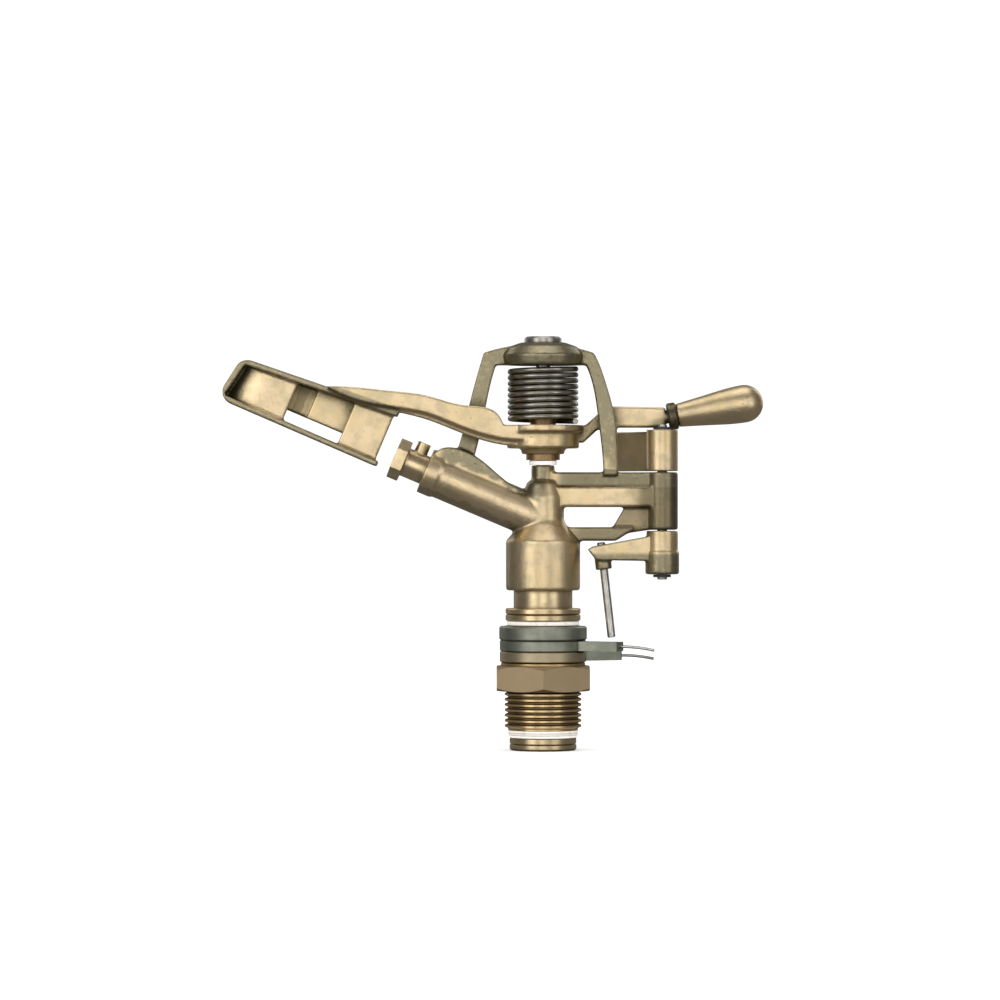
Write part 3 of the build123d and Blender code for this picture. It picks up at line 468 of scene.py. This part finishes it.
def paint(obj, node_name):
    """Gives an object all over the finish of this frame piece."""
    obj.data.materials.clear()
    obj.data.materials.append(finishes[own_finish.get(node_name, slot_of[node_name])])


for node_name, node in nodes.items():
    paint(node, node_name)


# =============================================================================
# Castings and nozzle: copies of the frame pieces with softened edges and corners
# =============================================================================
def pick(obj):
    """Selects one object alone and makes it the active one."""
    bpy.ops.object.select_all(action="DESELECT")
    obj.select_set(True)
    bpy.context.view_layer.objects.active = obj


def apply_modifier(obj, kind, **settings):
    """Adds a modifier with its settings and applies it."""
    modifier = obj.modifiers.new(kind.lower(), kind)
    for name, setting in settings.items():
        setattr(modifier, name, setting)
    pick(obj)
    bpy.ops.object.modifier_apply(modifier=modifier.name)


def softened(node_name, grain_mm, passes):
    """Casting: the frame piece remeshed evenly and relaxed, so that no edge stays sharp."""
    source = nodes[node_name]
    pick(source)
    bpy.ops.object.duplicate()
    casting = bpy.context.view_layer.objects.active
    casting.name = node_name + "_casting"
    casting.parent = None
    for stale in [key for key in casting.keys() if key.startswith("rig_")]:
        del casting[stale]
    bpy.ops.object.mode_set(mode="EDIT")
    bpy.ops.mesh.select_all(action="SELECT")
    bpy.ops.mesh.remove_doubles(threshold=0.002 * MM)
    bpy.ops.object.mode_set(mode="OBJECT")
    apply_modifier(casting, "REMESH", mode="VOXEL", voxel_size=grain_mm * MM)
    apply_modifier(casting, "SMOOTH", factor=0.5, iterations=passes)
    pick(casting)
    bpy.ops.object.shade_smooth()
    paint(casting, node_name)
    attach(casting, body_of[node_name])
    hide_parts(node_name)
    return casting


for node_name, grain_mm, passes in (("body_casting", 0.43, 7), ("drive_arm", 0.42, 5),
                                    ("shift_lever", 0.30, 5), ("trip_lever", 0.30, 5),
                                    ("counterweight", 0.35, 4), ("nozzle", 0.20, 3)):
    softened(node_name, grain_mm, passes)

# =============================================================================
# Floor, light, camera
# =============================================================================
tent_r = 5.0
floor_glow = 0.14
tent_glow = 1.05
world_glow = 0.15
look_at = Vector((0, 0, 0.08))


def studio_floor():
    """Round pale paper floor."""
    bpy.ops.object.select_all(action="DESELECT")
    bpy.ops.mesh.primitive_circle_add(vertices=96, radius=tent_r, fill_type="NGON",
                                      location=(0, 0, 0))
    floor = bpy.context.object
    floor.name = "studio_floor"
    finish = Finish("pale_paper")
    fibre = finish.noise(20, detail=2)
    colour = finish.blend(fibre, rgb(0.86, 0.86, 0.86), rgb(0.90, 0.90, 0.90))
    floor.data.materials.append(finish.surface(colour, 0.9, Emission_Color=rgb(1, 1, 1),
                                               Emission_Strength=floor_glow))
    floor.visible_glossy = False


def studio_tent():
    """White glowing tent over the floor, which the metal doesn't mirror."""
    bpy.ops.object.select_all(action="DESELECT")
    bpy.ops.mesh.primitive_uv_sphere_add(segments=64, ring_count=32, radius=tent_r,
                                         location=(0, 0, 0))
    tent = bpy.context.object
    tent.name = "studio_tent"
    bpy.ops.object.mode_set(mode="EDIT")
    bpy.ops.mesh.select_all(action="SELECT")
    bpy.ops.mesh.bisect(plane_co=(0, 0, 0), plane_no=(0, 0, 1), clear_inner=True)
    bpy.ops.mesh.select_all(action="SELECT")
    bpy.ops.mesh.normals_make_consistent(inside=True)
    bpy.ops.object.mode_set(mode="OBJECT")
    finish = Finish("white_tent")
    weave = finish.noise(400, detail=1)
    cloth = finish.blend(weave, rgb(0.0, 0.0, 0.0), rgb(0.01, 0.01, 0.01))
    tent.data.materials.append(finish.surface(cloth, 1.0, Emission_Color=rgb(1, 1, 1),
                                              Emission_Strength=tent_glow))
    tent.visible_glossy = False


def soft_box(name, azimuth, height, distance, size, radiance):
    """Rectangular studio light that looks at the sprinkler's middle, of this brightness all over."""
    light = bpy.data.lights.new(name, "AREA")
    light.shape = "RECTANGLE"
    light.size, light.size_y = size
    light.energy = radiance * pi * size[0] * size[1]
    lamp = bpy.data.objects.new(name, light)
    bpy.context.scene.collection.objects.link(lamp)
    lamp.location = (sin(radians(azimuth)) * distance, -cos(radians(azimuth)) * distance, height)
    aim = look_at - lamp.location
    lamp.rotation_euler = aim.to_track_quat("-Z", "Y").to_euler()
    lamp.visible_camera = False


studio_floor()
studio_tent()
soft_box("front", 0, 0.30, 2.0, (1.0, 1.3), 1.5)
soft_box("front_left", -40, 0.45, 1.5, (0.80, 1.3), 2.0)
soft_box("front_right", 42, 0.40, 1.5, (0.70, 1.2), 1.5)
soft_box("overhead", 0, 1.8, 0.05, (1.4, 1.4), 1.5)
soft_box("back_left", -140, 0.7, 1.6, (0.6, 1.2), 1.3)
soft_box("back_right", 145, 0.7, 1.6, (0.6, 1.2), 1.2)

world = bpy.data.worlds.new("studio")
bpy.context.scene.world = world
world.use_nodes = True
world.node_tree.nodes["Background"].inputs["Color"].default_value = rgb(1, 1, 1)
world.node_tree.nodes["Background"].inputs["Strength"].default_value = world_glow

camera_data = bpy.data.cameras.new("camera")
camera = bpy.data.objects.new("camera", camera_data)
bpy.context.scene.collection.objects.link(camera)
bpy.context.scene.camera = camera
camera_distance = 1.6
view_width = 0.344
view_middle_x, view_middle_z = -0.0148, 0.086
camera_data.sensor_width = 36
camera_data.lens = camera_data.sensor_width * camera_distance / view_width
camera.location = (view_middle_x, -camera_distance, view_middle_z)
camera.rotation_euler = (radians(90), 0, 0)
bpy.context.scene.view_settings.view_transform = "Standard"
